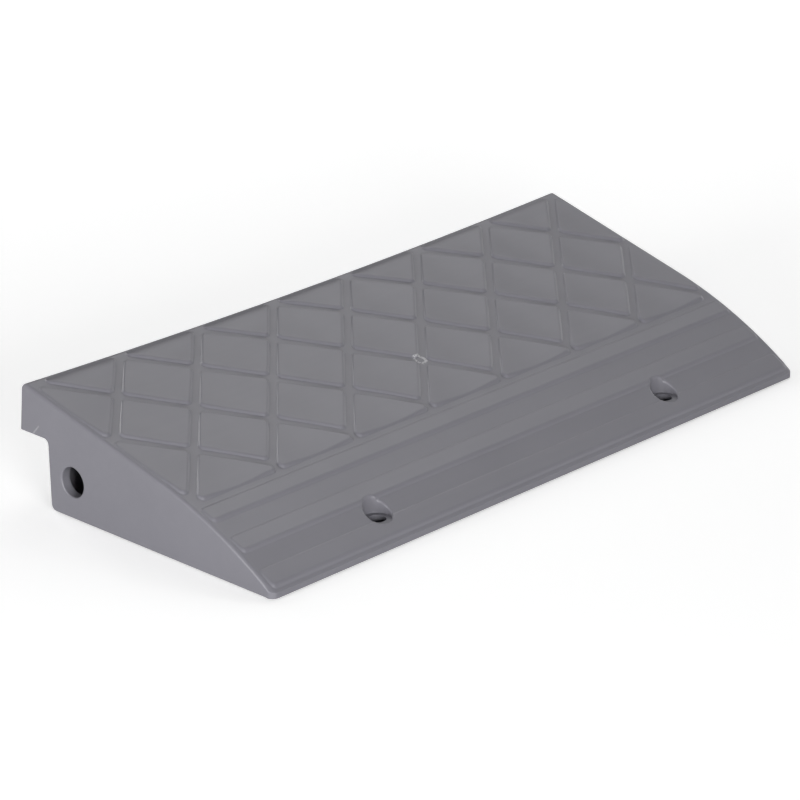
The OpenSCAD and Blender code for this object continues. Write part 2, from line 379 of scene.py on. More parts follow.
def shell():
    """The outside of the moulding, lofted from its left end to its right end."""
    rows = shell_outline()
    outline = [p for p, r in rows]
    toe_rise = deck_z(FRONT_CORNER_R) - deck_z(0) - DECK_END_R
    drawn = []
    for k, (p, r) in enumerate(rows):
        pull = inward(outline, k) * r
        on_deck = p.y > deck_z(0) - TOE_EDGE_R
        if p.x < TOE_EDGE_R:
            pull = Vector((FRONT_CORNER_R, toe_rise if on_deck else 0))
            r = FRONT_CORNER_R
        elif p.x < TOE_BLEND and on_deck:
            share = p.x / TOE_BLEND
            pull = Vector((FRONT_CORNER_R, toe_rise)).lerp(pull, share)
            r = FRONT_CORNER_R + (DECK_END_R - FRONT_CORNER_R) * share
        drawn.append((p, pull, r))
    end = []
    for step in range(END_STEPS + 1):
        turn = math.pi / 2 * step / END_STEPS
        end.append([
            (HALF_LENGTH - r * (1 - math.cos(turn)), *(p + pull * (1 - math.sin(turn))))
            for p, pull, r in drawn
        ])
    inner = HALF_LENGTH - 2 * FRONT_CORNER_R
    stations = round(2 * inner / STATION_GAP)
    middle = []
    for i in range(stations + 1):
        x = -inner + 2 * inner * i / stations
        middle.append([(x, p.x, p.y) for p in outline])
    left = [[(-x, y, z) for x, y, z in ring] for ring in end]
    rings = left + middle + end[::-1]
    count = len(outline)
    index = [list(range(i * count, (i + 1) * count)) for i in range(len(rings))]
    faces = skin(index) + [index[0][::-1], index[-1]]
    return mesh_object("moulding", [p for ring in rings for p in ring], faces)


moulding = shell()
print("The shell has", len(moulding.data.polygons), "faces")

# %% [markdown]
# ## Wedges with soft edges
# Each diamond is a low wedge, almost flush at its back tip and proud at its front tip, so that
# wheels find an edge to push on. The tool that forms it is milled with round cutters, so nothing
# on it is sharp: the deck runs up into the wall in a hollow curve, and the wall turns into the top
# in a round one. A wedge is made as rings round a convex outline with rounded corners. The rings
# climb both curves, which lean less where the wedge is low, and more rings shrink to the middle to
# carry the top.

# %% Sizes of any wedge, in millimetres
HOLLOW_R = 1.4
ROOT_DEPTH = 1.5
BURIED = 0.05
OUTLINE_GAP = 5
CORNER_STEPS = 5
CURVE_STEPS = 4


# %% A wedge from its outline
def rounded_outline(corners, radius):
    """Points and outward normals round a convex outline, anticlockwise, with rounded corners."""
    corners = [Vector(c) for c in corners]
    count = len(corners)
    arcs = []
    for k, corner in enumerate(corners):
        arc = fillet(corners[k - 1], corner, corners[(k + 1) % count], radius, CORNER_STEPS)
        u = (corners[k - 1] - corner).normalized()
        v = (corners[(k + 1) % count] - corner).normalized()
        centre = corner + (u + v).normalized() * radius / math.sin(u.angle(v) / 2)
        arcs.append([(p, (p - centre).normalized()) for p in arc])
    rounded = []
    for k, arc in enumerate(arcs):
        rounded += arc
        after = arcs[(k + 1) % count][0][0]
        rounded += [(p, arc[-1][1]) for p in stretch(arc[-1][0], after, OUTLINE_GAP)]
    return rounded


def wedge(name, corners, corner_r, edge_r, rise, shrink=()):
    """A closed form that stands on the deck, where rise is its own height at (x, y)."""
    both = HOLLOW_R + edge_r
    around = []
    for p, n in rounded_outline(corners, corner_r):
        around.append((p, n, math.acos(max(0, 1 - (rise(*p) + BURIED) / both))))
    rings = []
    for step in range(CURVE_STEPS + 1):
        ring = []
        for p, n, lean in around:
            turn = lean * step / CURVE_STEPS
            x, y = p + n * HOLLOW_R * (math.sin(lean) - math.sin(turn))
            ring.append((x, y, deck_z(y) - BURIED + HOLLOW_R * (1 - math.cos(turn))))
        rings.append(ring)
    rings.insert(0, [(x, y, z - ROOT_DEPTH) for x, y, z in rings[0]])
    for step in range(CURVE_STEPS + 1):
        ring = []
        for p, n, lean in around:
            turn = lean * (1 - step / CURVE_STEPS)
            x, y = p - n * edge_r * (math.sin(lean) - math.sin(turn))
            ring.append((x, y, deck_z(y) + rise(x, y) - edge_r * (1 - math.cos(turn))))
        if step:
            rings.append(ring)
    middle = sum((Vector(c) for c in corners), Vector((0, 0))) / len(corners)
    if not shrink:
        return solid_from_rings(name, rings)
    edge = [Vector(point[:2]) for point in rings[-1]]
    for share in shrink:
        ring = [middle.lerp(p, share) for p in edge]
        rings.append([(x, y, deck_z(y) + rise(x, y)) for x, y in ring])
    return solid_from_rings(name, rings, tip=(*middle, deck_z(middle.y) + rise(*middle)))


# %% [markdown]
# ## The diamonds
# Their middles lie on five lines across the deck. Whole diamonds fill three of them, and halves
# close the field at the front, the back and both ends. Each is a wedge. The plastic is thickest
# under it and shrinks most there, so its top has sunk to a shallow dish, and its rim stands up
# round the dish and catches the light. The half diamonds at the lip fade out towards it, and their
# dish reaches its depth halfway to the front tip.

# %% Sizes of the diamonds, in millimetres
PAD_COLUMNS = 7
PAD_ROWS = 2
FIELD_END = 4
FIELD_FRONT = 85
FIELD_BACK = 261.5
LATTICE_INSET = 10
LATTICE_LEFT = -HALF_LENGTH + LATTICE_INSET
LATTICE_FRONT = 92.5
LATTICE_BACK = 258
HALF_X = -LATTICE_LEFT / PAD_COLUMNS
HALF_Y = (LATTICE_BACK - LATTICE_FRONT) / PAD_ROWS / 2
GROOVE_W = 6.5
PAD_CORNER_R = 4
PAD_EDGE_R = 2.4
PAD_BACK_RISE = 0.5
PAD_RISE = 2.4

# %% The height of the diamonds
PAD_SHRINK = (0.94, 0.85, 0.74, 0.62, 0.5, 0.37, 0.24, 0.12)
CREASE_SOFTNESS = 0.12
SINK = 1.5
LIP_DISH_START = 0.5
LIP_FADE = 13
LEAST_RISE = 0.1


def line_y(line):
    """Where the middles of the diamonds of a line lie."""
    return LATTICE_BACK - line * HALF_Y


def pad_rise(line, centre=0):
    """How far the wedges of a line stand above the deck, as a function of place."""
    back = line_y(line) + HALF_Y

    def height(x, y):
        climb = (back - y) / HALF_Y
        share = (climb + 1 - math.hypot(climb - 1, CREASE_SOFTNESS)) / 2
        across, along = (x - centre) / HALF_X, climb - 1
        sunk = SINK * max(0, 1 - (across + along) ** 2) * max(0, 1 - (across - along) ** 2)
        rise = PAD_BACK_RISE + (PAD_RISE - PAD_BACK_RISE) * share
        if line > 0:
            return rise - sunk
        sunk *= min(1, max(0, along) / LIP_DISH_START)
        fade = max(0, min(1, (FIELD_BACK - y) / LIP_FADE))
        return max(LEAST_RISE, (rise - sunk) * fade * (2 - fade))

    return height


# %% Outlines of the diamonds and their halves
def half_outline(y, along, across, past, turn):
    """A half diamond at y, cut past its middle, and turned to its place."""
    tip = along - GROOVE_W / 2 * math.hypot(along, across) / across
    side = (tip + past) * across / along
    cos, sin = round(math.cos(turn)), round(math.sin(turn))
    flat = [(-past, -side), (tip, 0), (-past, side)]
    return [(u * cos - v * sin, y + u * sin + v * cos) for u, v in flat]


def full_outline(y):
    """A whole diamond with its middle at y, drawn in by half a groove."""
    share = 1 - GROOVE_W / 2 * math.hypot(HALF_X, HALF_Y) / (HALF_X * HALF_Y)
    a, b = HALF_X * share, HALF_Y * share
    return [(0, y - b), (a, y), (0, y + b), (-a, y)]


# %% The diamonds, line by line
def pads_on_line(line):
    """The diamonds of one line as objects, laid along the ramp."""
    y = line_y(line)
    name = f"diamonds_{line}"
    pad = (PAD_CORNER_R, PAD_EDGE_R, pad_rise(line), PAD_SHRINK)
    if line == 0:
        past = FIELD_BACK - LATTICE_BACK
        outline = half_outline(y, HALF_Y, HALF_X, past, -math.pi / 2)
    elif line == 2 * PAD_ROWS:
        past = LATTICE_FRONT - FIELD_FRONT
        outline = half_outline(y, HALF_Y, HALF_X, past, math.pi / 2)
    else:
        outline = full_outline(y)
    piece = wedge(name, outline, *pad)
    if line % 2 == 0:
        return [row(name + "_row", piece, PAD_COLUMNS, 2 * HALF_X)]
    past = LATTICE_LEFT + HALF_LENGTH - FIELD_END
    left = [(x + LATTICE_LEFT, v) for x, v in half_outline(y, HALF_X, HALF_Y, past, 0)]
    right = [(x - LATTICE_LEFT, v) for x, v in half_outline(y, HALF_X, HALF_Y, past, math.pi)]
    ends = []
    for end, outline, centre in (("left", left, LATTICE_LEFT), ("right", right, -LATTICE_LEFT)):
        shape = (PAD_CORNER_R, PAD_EDGE_R, pad_rise(line, centre), PAD_SHRINK)
        ends.append(wedge(f"{name}_{end}", outline, *shape))
    return [row(name + "_row", piece, PAD_COLUMNS - 1, 2 * HALF_X), *ends]


raised = [piece for line in range(2 * PAD_ROWS + 1) for piece in pads_on_line(line)]
print("The diamonds stand up to", PAD_RISE, "mm high")

# %% [markdown]
# ## The grip ridges
# Three long ridges cross the curved front. Each is the same kind of wedge, stretched to the ramp's
# length: flush at the back, with a soft step at the front that a tyre climbs.

# %% Sizes of the ridges, in millimetres
RIDGE_COUNT = 3
RIDGE_BACK = 79.5
RIDGE_PITCH = 30.5
RIDGE_W = 15.5
RIDGE_BACK_RISE = 0.5
RIDGE_FRONT_RISE = 2.4
RIDGE_EDGE_R = 3
RIDGE_CORNER_R = 3.4
RIDGE_END_GAP = 4.5


# %% Ridges on the front curve
def ridge_line(i):
    """The back and the front of ridge i."""
    back = RIDGE_BACK - i * RIDGE_PITCH
    return back, back - RIDGE_W


def ridge_top(i, y):
    """The height of ridge i at y, on a flat top that rises over the chord of the curve below."""
    back, front = ridge_line(i)
    chord = deck_z(front) + (deck_z(back) - deck_z(front)) * (y - front) / RIDGE_W
    rise = RIDGE_BACK_RISE + (RIDGE_FRONT_RISE - RIDGE_BACK_RISE) * (back - y) / RIDGE_W
    return chord + rise


def ridge(i):
    """Ridge i, as an object."""
    back, front = ridge_line(i)
    half = HALF_LENGTH - RIDGE_END_GAP
    corners = [(-half, front), (half, front), (half, back), (-half, back)]

    def rise(x, y):
        return ridge_top(i, y) - deck_z(y)

    return wedge(f"ridge_{i}", corners, RIDGE_CORNER_R, RIDGE_EDGE_R, rise)


raised += [ridge(i) for i in range(RIDGE_COUNT)]
combine(moulding, "UNION", *raised)
print("With its diamonds and ridges the moulding has", len(moulding.data.polygons), "faces")

# %% [markdown]
# ## The bays between the ribs
# A thick block of plastic would sink and warp, so the ramp is cored out: the space under the deck
# is cut into bays, and what stays between them are the ribs. One column of bays is drawn from the
# section, with roofs that follow the deck, and the row tree repeats it along the ramp. Bosses,
# collars and sockets are taken out of the cutter first, so that they stay in the moulding.

# %% Sizes of the underside, in millimetres
BAY_COLUMNS = 12
BAY_ROWS = 5
RIB_T = 2.5
TOE_SOLID = 10
CUT = 2
ROUND_STEPS = 64

SCREWS = 2
SCREW_SPACING = 330
SCREW_Y = 25
SCREW_HEAD_R = 11
SCREW_BOSS_WALL = 3.5

LINK_R = 12
LINK_Y = 213
LINK_Z = 29.5
LINK_LEN = 8
LINK_WALL = 3.5

FOOT_R = 11
FOOT_STEM_R = 4.5
FOOT_STEM_LEN = 9
FOOT_DEPTH = 3
FOOT_GAP = 0.1
SOCKET_WALL = 3
FEET_IN_ROW = 3

ROOF_GAP = 4
LIP_ROOF_GAP = 8
BAY_X = (LENGTH - 2 * END_WALL - (BAY_COLUMNS - 1) * RIB_T) / BAY_COLUMNS
BAY_BACK = HEEL_Y - REAR_WALL
BAY_Y = (BAY_BACK - TOE_SOLID - (BAY_ROWS - 1) * RIB_T) / BAY_ROWS
SOCKET_H = FOOT_DEPTH + FOOT_STEM_LEN + FOOT_GAP + SOCKET_WALL


# %% One column of bays
def roof(back, front, gap=ROOF_GAP):
    """Points along the underside of the deck, from back to front."""
    steps = max(1, round((back - front) / gap))
    ys = [back + (front - back) * k / steps for k in range(steps + 1)]
    return [(y, deck_z(y, DECK_WALL)) for y in ys]


def bay_column():
    """The cutter for one column of bays, from the toe to the lip."""
    cutters = []
    for j in range(BAY_ROWS):
        front = TOE_SOLID + j * (BAY_Y + RIB_T)
        back = front + BAY_Y
        lean = LEAN if j == BAY_ROWS - 1 else 0
        top_back = back + lean * deck_z(back, DECK_WALL)
        outline = [(front, -CUT), (back - lean * CUT, -CUT), *roof(top_back, front)]
        cutters.append(prism(f"bay_{j}", outline, BAY_X))
    low = LIP_UNDER - LIP_ROOT_R - CUT
    flange_lean = LIP_DRAFT / (BODY_H - LIP_UNDER)
    flange_y = DEPTH - LIP_WALL
    top = deck_z(flange_y, DECK_WALL)
    flange_top = flange_y - flange_lean * (top - LIP_UNDER)
    wall_top = HEEL_Y + LEAN * deck_z(LIP_ROOT_Y, DECK_WALL)
    outline = [
        (HEEL_Y + LEAN * low, low),
        (flange_y + flange_lean * (LIP_UNDER - low), low),
        *roof(flange_top, wall_top, LIP_ROOF_GAP),
    ]
    cutters.append(prism("bay_lip", outline, BAY_X))
    return join("bays", cutters)


# %% Turned pieces
def turned(name, profile, axis_y, axis_z=None, side=0):
    """A solid of revolution from (radius, distance) pairs, on an upright axis or one along x."""
    rings = []
    for radius, distance in profile:
        ring = []
        for k in range(ROUND_STEPS):
            turn = 2 * math.pi * k / ROUND_STEPS
            u, v = radius * math.cos(turn), radius * math.sin(turn)
            if axis_z is None:
                ring.append((u, axis_y + v, distance))
            else:
                ring.append((side * (HALF_LENGTH - distance), axis_y - side * u, axis_z + v))
        rings.append(ring)
    return solid_from_rings(name, rings)


# %% The bays, less what stays in the moulding
def rib_y(j):
    """The middle of the rib behind bay row j, counted from the toe."""
    return TOE_SOLID + j * (BAY_Y + RIB_T) - RIB_T / 2


FOOT_ROWS = (rib_y(1), rib_y(BAY_ROWS - 1))
FOOT_PITCH = (BAY_COLUMNS / 2 - 1) * (BAY_X + RIB_T)
bays = row("rib_bays", bay_column(), BAY_COLUMNS, BAY_X + RIB_T)
boss_r = SCREW_HEAD_R + SCREW_BOSS_WALL
collar_r = LINK_R + LINK_WALL
socket_r = FOOT_R + FOOT_GAP + SOCKET_WALL
boss = turned("boss", [(boss_r, -CUT), (boss_r, BODY_H)], SCREW_Y)
kept = [row("screw_bosses", boss, SCREWS, SCREW_SPACING)]
for side in (-1, 1):
    kept.append(turned("collar", [(collar_r, -CUT), (collar_r, LINK_LEN)], LINK_Y, LINK_Z, side))
for y in FOOT_ROWS:
    socket = turned("socket", [(socket_r, -CUT), (socket_r, SOCKET_H)], y)
    kept.append(row("foot_sockets", socket, FEET_IN_ROW, FOOT_PITCH))
combine(bays, "DIFFERENCE", *kept)
print("The cutter of the bays has", len(bays.data.polygons), "faces")

# %% [markdown]
# ## The holes
# The screw recesses are sunk straight down through a slope, so their mouths are ovals on the deck,
# with a rounded rim that follows the slope and the ridge in front, widest at the two sides. The
# cutter flares out along that rim. The link holes in the ends have a small round, which guides the
# pin in, and the feet press into stepped sockets.

# %% Sizes of the holes and their rims, in millimetres
SCREW_HOLE_R = 7
SCREW_SEAT_Z = 14
SCREW_FLOOR = 4
SCREW_RIM_R = 2
RIM_ANGLES = range(0, 81, 20)
RIM_NARROW = 0.7
FLARE = 1.2
FLARE_SLOPE = math.tan(math.radians(10))
A_HAIR = 0.01
LINK_RIM_R = 1.2
LINK_RIM_STEPS = 8


# %% Cutters for the holes
def skin_z(y):
    """The height of the front curve with its ridges, at y."""
    for i in range(RIDGE_COUNT):
        back, front = ridge_line(i)
        if front < y < back:
            return ridge_top(i, y)
    return deck_z(y)


def screw_cutter():
    """The cutter for a ground screw: well, hole, seat and recess, and the rim's flare on top."""
    well_top = SCREW_SEAT_Z - SCREW_FLOOR
    steps = [(SCREW_HEAD_R, -CUT), (SCREW_HEAD_R, well_top), (SCREW_HOLE_R, well_top)]
    steps += [(SCREW_HOLE_R, SCREW_SEAT_Z), (SCREW_HEAD_R, SCREW_SEAT_Z)]
    turns = [2 * math.pi * k / ROUND_STEPS for k in range(ROUND_STEPS)]
    rings = [[(r * math.cos(t), SCREW_Y + r * math.sin(t), z) for t in turns] for r, z in steps]
    rim = []
    for degrees in RIM_ANGLES:
        turn = math.radians(degrees)
        rim.append((SCREW_RIM_R * (1 - math.cos(turn)), SCREW_RIM_R * (1 - math.sin(turn))))
    rim.append((rim[-1][0] + FLARE, rim[-1][1] - FLARE * FLARE_SLOPE))
    rim.append((rim[-1][0], -BODY_H / 2))
    for out, down in rim:
        ring = []
        for t in turns:
            r = SCREW_HEAD_R + out * (RIM_NARROW + (1 - RIM_NARROW) * math.cos(t) ** 2)
            y = SCREW_Y + r * math.sin(t)
            ring.append((r * math.cos(t), y, max(skin_z(y) - down, SCREW_SEAT_Z + A_HAIR)))
        rings.append(ring)
    return solid_from_rings("screw_cutter", rings)


def link_cutter(side):
    """The cutter for a link hole in one end, with its round rim."""
    profile = [(LINK_R + LINK_RIM_R, -CUT), (LINK_R + LINK_RIM_R, -BURIED)]
    for step in range(1, LINK_RIM_STEPS + 1):
        turn = math.pi / 2 * step / LINK_RIM_STEPS
        r = LINK_R + LINK_RIM_R * (1 - math.sin(turn))
        profile.append((r, LINK_RIM_R * (1 - math.cos(turn))))
    profile.append((LINK_R, LINK_LEN + CUT))
    return turned("link_cutter", profile, LINK_Y, LINK_Z, side)


def foot_cutter(y):
    """The cutter for the stepped socket of a foot."""
    head, stem = FOOT_R + FOOT_GAP, FOOT_STEM_R + FOOT_GAP
    top = SOCKET_H - SOCKET_WALL
    steps = [(head, -CUT), (head, FOOT_DEPTH), (stem, FOOT_DEPTH), (stem, top)]
    return turned("foot_cutter", steps, y)


# %% Cut the bays and the holes
holes = [row("screw_holes", screw_cutter(), SCREWS, SCREW_SPACING)]
holes += [link_cutter(side) for side in (-1, 1)]
holes += [row("foot_holes", foot_cutter(y), FEET_IN_ROW, FOOT_PITCH) for y in FOOT_ROWS]
combine(moulding, "DIFFERENCE", bays, *holes)
print("The cored moulding has", len(moulding.data.polygons), "faces")

# %% [markdown]
# ## Cooling has bent it a little
# Mouldings never come out quite straight. Between its ends this ramp's lip hangs about 5 mm lower
# than its corners, while the front and the bottom edge are straight. So the finished mesh is moved
# down by a smooth amount that grows steeply towards the back edge and fades out towards the floor.

# %% The sag of the lip
LIP_SAG = 5.4
SAG_POWER = 6


def sag(x, y, z):
    """How far the moulding hangs down at a place, in millimetres."""
    hang = LIP_SAG * max(0, y / LIP_TOP_Y) ** SAG_POWER * (1 - (x / HALF_LENGTH) ** 2)
    return hang * min(1, max(0, z / LIP_UNDER))


for vertex in moulding.data.vertices:
    x, y, z = vertex.co / MM
    vertex.co.z -= sag(x, y - TOE_Y, z - BASE_Z) * MM
print("The lip's middle hangs", round(sag(0, LIP_TOP_Y, BODY_H), 1), "mm lower than its ends")

# %% [markdown]
# ## Shading
# Booleans leave long triangles on flat walls. Face-weighted normals let the large flat faces keep
# their own direction and give the bend to the small faces of the roundings, and edges sharper than
# the limit stay crisp.

# %% Smooth, with weighted normals
SHARP_ANGLE = math.radians(32)


def smooth(obj):
    """Smooth shading on obj, crisp at sharp edges, with the bend given to its small faces."""
    obj.data.shade_smooth()
    obj.data.set_sharp_from_angle(angle=SHARP_ANGLE)
    weighted = obj.modifiers.new("weighted", "WEIGHTED_NORMAL")
    weighted.keep_sharp = True
    bpy.context.view_layer.update()
    return plain_mesh(obj)


smooth(moulding)
print("Edges over", round(math.degrees(SHARP_ANGLE)), "degrees stay crisp")

# %% [markdown]
# ## Finishes
# Colours are written as the hex values of a paint chart and turned to the linear light that the
# renderer works in.


# %% Colour and material helpers
def linear(hex_colour):
    """A #rrggbb colour as linear RGBA."""
    parts = [int(hex_colour[i:i + 2], 16) / 255 for i in (1, 3, 5)]
    return (*[c / 12.92 if c <= 0.04045 else ((c + 0.055) / 1.055) ** 2.4 for c in parts], 1)


def new_material(name):
    """An empty node material, with its tree, its shader and the place that patterns read."""
    material = bpy.data.materials.new(name)
    material.use_nodes = True
    tree = material.node_tree
    tree.nodes.clear()
    shader = add(tree, "ShaderNodeBsdfPrincipled")
    add(tree, "ShaderNodeOutputMaterial", {"Surface": shader})
    place = add(tree, "ShaderNodeTexCoord").outputs["Object"]
    return material, tree, shader, place


def dress(obj, material):
    """Gives obj one material."""
    obj.data.materials.clear()
    obj.data.materials.append(material)


# %% [markdown]
# ## Moulded polypropylene
# The plastic left the tool with a satin skin: a purplish grey that clouds a little where the melt
# cooled unevenly, faint flow streaks along the ramp and a fine spark-eroded grain. Two marks are
# its own. Where the melt came in, the gate was twisted off and left a pale broken ring in the
# middle of the deck, and the left end has a short scuff. Both are drawn as masks from distances in
# the real place, so they stay where they are on the moulding. The grain's real spots are about
# 0.1 mm across. That is too fine to show, so they are drawn as coarse as they need to be.


# %% A soft mask
def near(tree, value, reach, soft):
    """A mask that is 1 where value is under reach, and fades out over soft."""
    ends = {"From Min": reach, "From Max": reach + soft, "To Min": 1.0, "To Max": 0.0}
    values = {"Value": value, **ends}
    return add(tree, "ShaderNodeMapRange", values, interpolation_type="SMOOTHSTEP")


def cells(size):
    """The scale of a noise whose features are size millimetres across."""
    return 1 / (size * MM)


# %% The gate mark, in millimetres from the toe and from the middle
GATE_Y = 137
GATE_R = 4.6
GATE_WAVER = 5
GATE_WAVER_SIZE = 3
GATE_LINE = 0.5
GATE_LINE_FADE = 1.0
GATE_GAP_SIZE = 1.4
GATE_GAP_SHARE = 0.5
GATE_GAP_FADE = 0.1
GATE_STUB = (3.4, 133.4)
GATE_STUB_R = 0.8
GATE_STUB_FADE = 0.9
GATE_REACH = 3
NOISE_MIDDLE = 0.5


def gate_mask(tree, place):
    """The broken ring that the gate left in the deck, with the stub of the twist on its right."""
    middle = (0, (GATE_Y + TOE_Y) * MM, 0)
    stub = (GATE_STUB[0] * MM, (GATE_STUB[1] + TOE_Y) * MM, 0)
    flat = add(tree, "ShaderNodeVectorMath", {0: place, 1: (1, 1, 0)}, operation="MULTIPLY")
    out = add(tree, "ShaderNodeVectorMath", {0: flat, 1: middle}, operation="DISTANCE")
    wave = {"Vector": place, "Scale": cells(GATE_WAVER_SIZE), "Detail": 4.0}
    waver = {0: add(tree, "ShaderNodeTexNoise", wave), 1: NOISE_MIDDLE}
    bent = {0: add(tree, "ShaderNodeMath", waver, operation="SUBTRACT")}
    bent |= {1: GATE_WAVER * MM, 2: out.outputs["Value"]}
    off = {0: add(tree, "ShaderNodeMath", bent, operation="MULTIPLY_ADD"), 1: GATE_R * MM}
    side = add(tree, "ShaderNodeMath", off, operation="SUBTRACT")
    line = add(tree, "ShaderNodeMath", {0: side}, operation="ABSOLUTE")
    speck = {"Vector": place, "Scale": cells(GATE_GAP_SIZE), "Detail": 2.0}
    gaps = near(tree, add(tree, "ShaderNodeTexNoise", speck), GATE_GAP_SHARE, GATE_GAP_FADE)
    thin = near(tree, line, GATE_LINE * MM, GATE_LINE_FADE * MM)
    ring = add(tree, "ShaderNodeMath", {0: thin, 1: gaps}, operation="MULTIPLY")
    away = add(tree, "ShaderNodeVectorMath", {0: flat, 1: stub}, operation="DISTANCE")
    dot = near(tree, away.outputs["Value"], GATE_STUB_R * MM, GATE_STUB_FADE * MM)
    mark = add(tree, "ShaderNodeMath", {0: ring, 1: dot}, operation="MAXIMUM")
    high = add(tree, "ShaderNodeSeparateXYZ", {0: place}).outputs["Z"]
    lowest = (deck_z(GATE_Y) + BASE_Z - GATE_REACH) * MM
    on_deck = add(tree, "ShaderNodeMath", {0: high, 1: lowest}, operation="GREATER_THAN")
    return add(tree, "ShaderNodeMath", {0: mark, 1: on_deck}, operation="MULTIPLY")


# %% The scuff on the lip's end, in millimetres from the toe and from the bottom edge
SCUFF_FROM = (255.9, 57.2)
SCUFF_TO = (249.4, 64.8)
SCUFF_LINE = 0.3
SCUFF_FADE = 0.6
SCUFF_SPECK = 1.2
SCUFF_STRENGTH = 0.7


def scuff_mask(tree, place):
    """The scuff, as the distance from a line between two points."""
    start = Vector((-HALF_LENGTH, SCUFF_FROM[0] + TOE_Y, SCUFF_FROM[1] + BASE_Z)) * MM
    end = Vector((-HALF_LENGTH, SCUFF_TO[0] + TOE_Y, SCUFF_TO[1] + BASE_Z)) * MM
    along = (end - start).normalized()
    from_start = add(tree, "ShaderNodeVectorMath", {0: place, 1: start}, operation="SUBTRACT")
    dot = add(tree, "ShaderNodeVectorMath", {0: from_start, 1: along}, operation="DOT_PRODUCT")
    ends = {"Min": 0.0, "Max": (end - start).length}
    share = add(tree, "ShaderNodeClamp", {"Value": dot.outputs["Value"], **ends})
    nearest = add(tree, "ShaderNodeVectorMath", {0: along, "Scale": share}, operation="SCALE")
    out = add(tree, "ShaderNodeVectorMath", {0: from_start, 1: nearest}, operation="DISTANCE")
    line = near(tree, out.outputs["Value"], SCUFF_LINE * MM, SCUFF_FADE * MM)
    speck = {"Vector": place, "Scale": cells(SCUFF_SPECK), "Detail": 2.0}
    broken = {0: line, 1: add(tree, "ShaderNodeTexNoise", speck)}
    faint = {0: add(tree, "ShaderNodeMath", broken, operation="MULTIPLY"), 1: SCUFF_STRENGTH}
    return add(tree, "ShaderNodeMath", faint, operation="MULTIPLY")


# %% Colours, and sizes in millimetres, of the moulded skin
GREY_DEEP = "#76757c"
GREY_PALE = "#7f7e85"
GREY_MARK = "#b9b9bc"
CLOUD_SIZE = 60
STREAK_SIZE = 7
STREAK_DRAW = 0.06
STREAK_SHARE = 0.35
SHEEN_SIZE = 25
ROUGH_LOW = 0.33
ROUGH_HIGH = 0.41
GRAIN_SIZE = 0.8
GRAIN_DEPTH = 0.1
GRAIN_STRENGTH = 0.08
MARK_HEIGHT = 2.0
PLASTIC_IOR = 1.49


# %% Moulded polypropylene, grey
def moulded_grey(tree, place, marks):
    """The colour of the plastic: clouds and streaks between two greys, and pale marks."""
    drawn = {0: place, 1: (STREAK_DRAW, 1, 1)}
    drawn = add(tree, "ShaderNodeVectorMath", drawn, operation="MULTIPLY")
    flow = {"Vector": drawn, "Scale": cells(STREAK_SIZE), "Detail": 3.0}
    cloud = {"Vector": place, "Scale": cells(CLOUD_SIZE), "Detail": 2.0}
    streaks = add(tree, "ShaderNodeTexNoise", flow)
    clouds = add(tree, "ShaderNodeTexNoise", cloud)
    blend = add(tree, "ShaderNodeMix", {0: STREAK_SHARE, 2: clouds, 3: streaks}, data_type="FLOAT")
    greys = {0: blend, 6: linear(GREY_DEEP), 7: linear(GREY_PALE)}
    tint = add(tree, "ShaderNodeMix", greys, data_type="RGBA").outputs[2]
    marked = {0: marks, 6: tint, 7: linear(GREY_MARK)}
    return add(tree, "ShaderNodeMix", marked, data_type="RGBA").outputs[2]


def moulded_polypropylene():
    """The plastic of the ramp, with its clouds, streaks, grain and two marks."""
    material, tree, shader, place = new_material("moulded_polypropylene_grey")
    both = {0: gate_mask(tree, place), 1: scuff_mask(tree, place)}
    marks = add(tree, "ShaderNodeMath", both, operation="MAXIMUM")
    tree.links.new(moulded_grey(tree, place, marks), shader.inputs["Base Color"])
    skin_noise = {"Vector": place, "Scale": cells(SHEEN_SIZE), "Detail": 3.0}
    sheen = {"Value": add(tree, "ShaderNodeTexNoise", skin_noise)}
    sheen |= {"To Min": ROUGH_LOW, "To Max": ROUGH_HIGH}
    rough = add(tree, "ShaderNodeMapRange", sheen)
    tree.links.new(rough.outputs[0], shader.inputs["Roughness"])
    grit = {"Vector": place, "Scale": cells(GRAIN_SIZE), "Detail": 3.0}
    height = {0: marks, 1: MARK_HEIGHT, 2: add(tree, "ShaderNodeTexNoise", grit)}
    relief = {"Height": add(tree, "ShaderNodeMath", height, operation="MULTIPLY_ADD")}
    relief |= {"Strength": GRAIN_STRENGTH, "Distance": GRAIN_DEPTH * MM}
    bump = add(tree, "ShaderNodeBump", relief)
    tree.links.new(bump.outputs[0], shader.inputs["Normal"])
    shader.inputs["IOR"].default_value = PLASTIC_IOR
    return material


dress(moulding, moulded_polypropylene())
print("The moulding wears", moulding.data.materials[0].name)

# %% [markdown]
# ## Moulded rubber
# The feet are soft black rubber, pressed in a plain mould, so they are dull all over, with a
# little grey dust. They are small and hardly show, so the CAD pieces are used as they are, and
# only get this finish.

# %% Black rubber
RUBBER_DARK = "#242426"
RUBBER_DUSTY = "#323234"
RUBBER_ROUGH = 0.8
DUST_SIZE = 6


def black_rubber():
    """The rubber of the feet."""
    material, tree, shader, place = new_material("moulded_rubber_black")
    specks = {"Vector": place, "Scale": cells(DUST_SIZE), "Detail": 4.0}
    dust = add(tree, "ShaderNodeTexNoise", specks)
    blacks = {0: dust, 6: linear(RUBBER_DARK), 7: linear(RUBBER_DUSTY)}
    tint = add(tree, "ShaderNodeMix", blacks, data_type="RGBA")
    tree.links.new(tint.outputs[2], shader.inputs["Base Color"])
    shader.inputs["Roughness"].default_value = RUBBER_ROUGH
    return material


